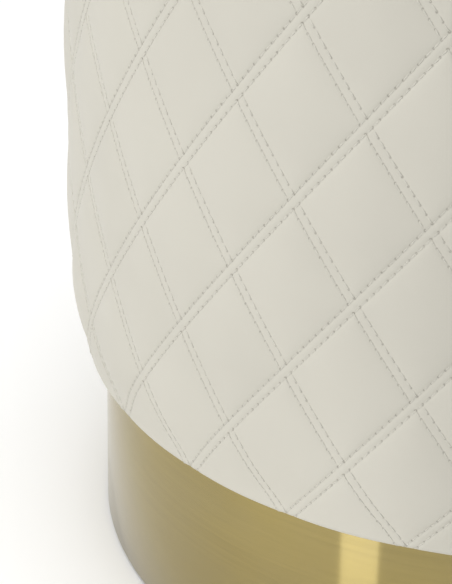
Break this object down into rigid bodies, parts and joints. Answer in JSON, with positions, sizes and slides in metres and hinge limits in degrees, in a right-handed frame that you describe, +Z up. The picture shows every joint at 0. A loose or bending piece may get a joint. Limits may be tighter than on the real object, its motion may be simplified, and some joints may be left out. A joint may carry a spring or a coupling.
{
  "type": "drum pouf",
  "caption": "Round drum pouf with a diamond-quilted cream leather cover, piped crowned seat and a recessed brushed brass-finish plinth.",
  "frame": {"origin": "on the floor at the centre of the pouf: the bottom centre of its bounding box", "axes": "+Z up along the drum's axis; +Y to the back, where the cover's closing seam and the metal band's butt seam are"},
  "size_m": [0.419, 0.419, 0.46],
  "materials": {
    "cream_leather": "matte",
    "brushed_brass": "satin",
    "zinc_steel": "satin",
    "plywood": "matte",
    "softwood": "matte",
    "fibreboard": "matte",
    "foam": "matte",
    "wadding": "matte",
    "black_non_woven": "matte",
    "black_plastic": "satin"
  },
  "bodies": {
    "root": {"base_band": "brushed_brass", "band_screw_1": "brushed_brass", "band_screw_2": "brushed_brass", "band_screw_3": "brushed_brass", "band_screw_4": "brushed_brass", "plinth_hoop": "plywood", "plinth_lower_board": "plywood", "plinth_upper_board": "plywood", "plinth_block_1": "softwood", "plinth_block_2": "softwood", "plinth_block_3": "softwood", "plinth_block_4": "softwood", "plinth_block_5": "softwood", "plinth_block_6": "softwood", "base_dust_cover": "black_non_woven", "glide_1": "black_plastic", "glide_2": "black_plastic", "glide_3": "black_plastic", "glide_4": "black_plastic", "glide_5": "black_plastic", "glide_6": "black_plastic", "glide_screw_1": "zinc_steel", "glide_screw_2": "zinc_steel", "glide_screw_3": "zinc_steel", "glide_screw_4": "zinc_steel", "glide_screw_5": "zinc_steel", "glide_screw_6": "zinc_steel", "drum_board": "plywood", "packing_disc": "fibreboard", "drum_post_1": "softwood", "drum_post_2": "softwood", "drum_post_3": "softwood", "drum_post_4": "softwood", "drum_post_5": "softwood", "drum_post_6": "softwood", "drum_wall": "fibreboard", "seat_board": "plywood", "drum_bolt_1": "zinc_steel", "bolt_washer_1": "zinc_steel", "flanged_nut_1": "zinc_steel", "drum_bolt_2": "zinc_steel", "bolt_washer_2": "zinc_steel", "flanged_nut_2": "zinc_steel", "drum_bolt_3": "zinc_steel", "bolt_washer_3": "zinc_steel", "flanged_nut_3": "zinc_steel", "side_foam": "foam", "seat_foam": "foam", "seat_wadding": "wadding", "side_cover": "cream_leather", "top_cover": "cream_leather", "piping": "cream_leather"}
  },
  "joints": []
}
